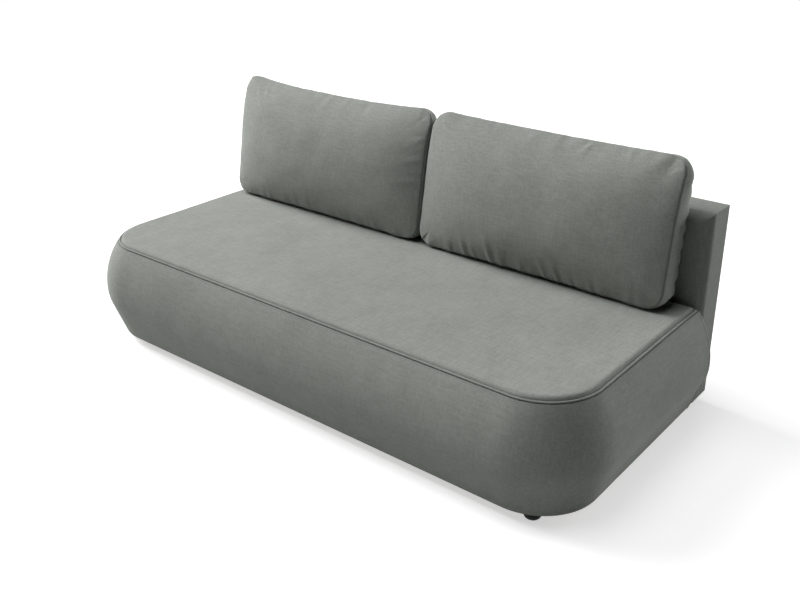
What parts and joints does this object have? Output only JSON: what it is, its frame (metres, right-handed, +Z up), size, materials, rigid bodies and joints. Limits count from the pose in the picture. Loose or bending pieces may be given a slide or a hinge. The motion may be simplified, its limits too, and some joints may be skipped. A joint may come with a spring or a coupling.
{
  "type": "sofa bed",
  "caption": "Armless sofa bed: barrel-skirted seat that pulls forward on rollers, fixed upright back and loose back cushions that fill the gap for sleeping.",
  "frame": {"origin": "floor level, at the centre of the whole sofa bed's outline in plan, closed", "axes": "+X along the width, to the right as seen from the front; +Z up; -Y towards the front, where the seat pulls out"},
  "size_m": [2.2, 1.053, 0.9166],
  "materials": {
    "seat_fabric": "short grey-green pile, matt with a soft sheen",
    "seam_cord": "fabric-covered cord in the seam",
    "lining_fabric": "plain woven lining",
    "foam": "cut polyurethane foam, matt",
    "plywood": "sanded plywood with a plain veneer",
    "black_plastic": "moulded, satin",
    "pine": "planed softwood",
    "steel": "zinc-plated sheet and rod",
    "nylon": "turned nylon",
    "back_fabric": "short grey-green pile, matt with a soft sheen",
    "hardboard": "pressed brown fibreboard",
    "dust_cloth": "thin black non-woven cloth",
    "cushion_fabric": "short grey-green pile, matt with a soft sheen"
  },
  "bodies": {
    "base": {"track_left": "steel", "track_right": "steel", "track_stops": "black_plastic", "base_rail_left": "pine", "base_rail_right": "pine", "base_cross_rail": "pine", "slat_ledger": "pine", "base_slats": "pine", "base_slat_pads": "black_plastic", "base_legs": "pine", "base_glides": "black_plastic", "base_brackets": "steel", "base_bolts": "steel", "back_cover": "back_fabric", "back_padding": "foam", "back_front_panel": "hardboard", "back_lower_board": "plywood", "back_rear_panel": "hardboard", "back_posts": "pine", "back_top_rail": "pine", "back_mid_rail": "pine", "back_bottom_rail": "pine", "back_dust_cloth": "dust_cloth", "rear_foot_left": "black_plastic", "rear_foot_right": "black_plastic"},
    "seat": {"seat_cover": "seat_fabric", "seat_topper": "seat_fabric", "seat_welt": "seam_cord", "seat_rear_band": "lining_fabric", "seat_mattress": "foam", "skirt_padding_left": "foam", "skirt_padding_right": "foam", "skirt_padding_front": "foam", "corner_padding_left": "foam", "corner_padding_right": "foam", "side_board_left": "plywood", "side_board_right": "plywood", "front_board": "plywood", "corner_former_left": "plywood", "corner_former_right": "plywood", "hem_rail_left": "plywood", "hem_rail_right": "plywood", "hem_rail_front": "plywood", "hem_corner_left": "plywood", "hem_corner_right": "plywood", "front_foot_left": "black_plastic", "front_foot_right": "black_plastic", "seat_front_rail": "pine", "seat_rear_rail": "pine", "seat_slats": "pine", "seat_slat_pads": "black_plastic", "rail_brackets": "steel", "stub_axles": "steel"},
    "roller_front_left": {"roller_front_left": "nylon"},
    "roller_rear_left": {"roller_rear_left": "nylon"},
    "roller_front_right": {"roller_front_right": "nylon"},
    "roller_rear_right": {"roller_rear_right": "nylon"},
    "cushion_left": {"cushion_left": "cushion_fabric"},
    "cushion_right": {"cushion_right": "cushion_fabric"}
  },
  "joints": [
    {"name": "seat_slide", "type": "slide", "parent": "base", "child": "seat", "axis": [0, -1, 0], "range_m": [0, 0.5]},
    {"name": "roller_front_left_spin", "type": "hinge", "parent": "seat", "child": "roller_front_left", "pos_m": [-0.9751, 0.21433, 0.1525], "axis": [1, 0, 0], "continuous": true},
    {"name": "roller_rear_left_spin", "type": "hinge", "parent": "seat", "child": "roller_rear_left", "pos_m": [-0.9751, 0.3525, 0.1525], "axis": [1, 0, 0], "continuous": true},
    {"name": "roller_front_right_spin", "type": "hinge", "parent": "seat", "child": "roller_front_right", "pos_m": [0.9751, 0.21433, 0.1525], "axis": [1, 0, 0], "continuous": true},
    {"name": "roller_rear_right_spin", "type": "hinge", "parent": "seat", "child": "roller_rear_right", "pos_m": [0.9751, 0.3525, 0.1525], "axis": [1, 0, 0], "continuous": true},
    {"name": "cushion_left_lift", "type": "slide", "parent": "seat", "child": "cushion_left", "axis": [0, 0, 1], "range_m": [0, 0.6]},
    {"name": "cushion_right_lift", "type": "slide", "parent": "seat", "child": "cushion_right", "axis": [0, 0, 1], "range_m": [0, 0.6]}
  ],
  "couplings": [
    {"joint": "roller_front_left_spin", "follows": "seat_slide", "rad_per_m": 66.667},
    {"joint": "roller_rear_left_spin", "follows": "seat_slide", "rad_per_m": 66.667},
    {"joint": "roller_front_right_spin", "follows": "seat_slide", "rad_per_m": 66.667},
    {"joint": "roller_rear_right_spin", "follows": "seat_slide", "rad_per_m": 66.667}
  ]
}
